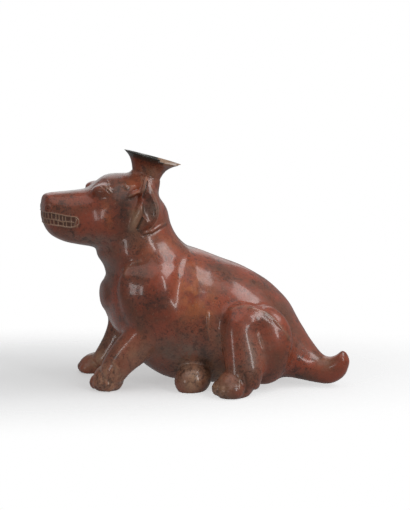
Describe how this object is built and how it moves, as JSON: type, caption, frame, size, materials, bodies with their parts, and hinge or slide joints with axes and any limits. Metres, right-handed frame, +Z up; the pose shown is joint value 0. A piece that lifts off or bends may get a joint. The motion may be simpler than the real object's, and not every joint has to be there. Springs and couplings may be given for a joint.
{
  "type": "colima dog figure",
  "caption": "Hollow burnished red clay vessel shaped as a seated dog with bared teeth, one hind leg drawn up, and a flared spout on its crown.",
  "frame": {"origin": "middle of the bounding box, on the plane that the paws and rump stand on", "axes": "+Z up, the dog faces -X, its near side as pictured is -Y"},
  "size_m": [0.351, 0.1906, 0.27],
  "materials": {
    "burnished_clay": "burnished red-brown slip"
  },
  "bodies": {
    "root": {"dog_vessel": "burnished_clay"}
  },
  "joints": []
}
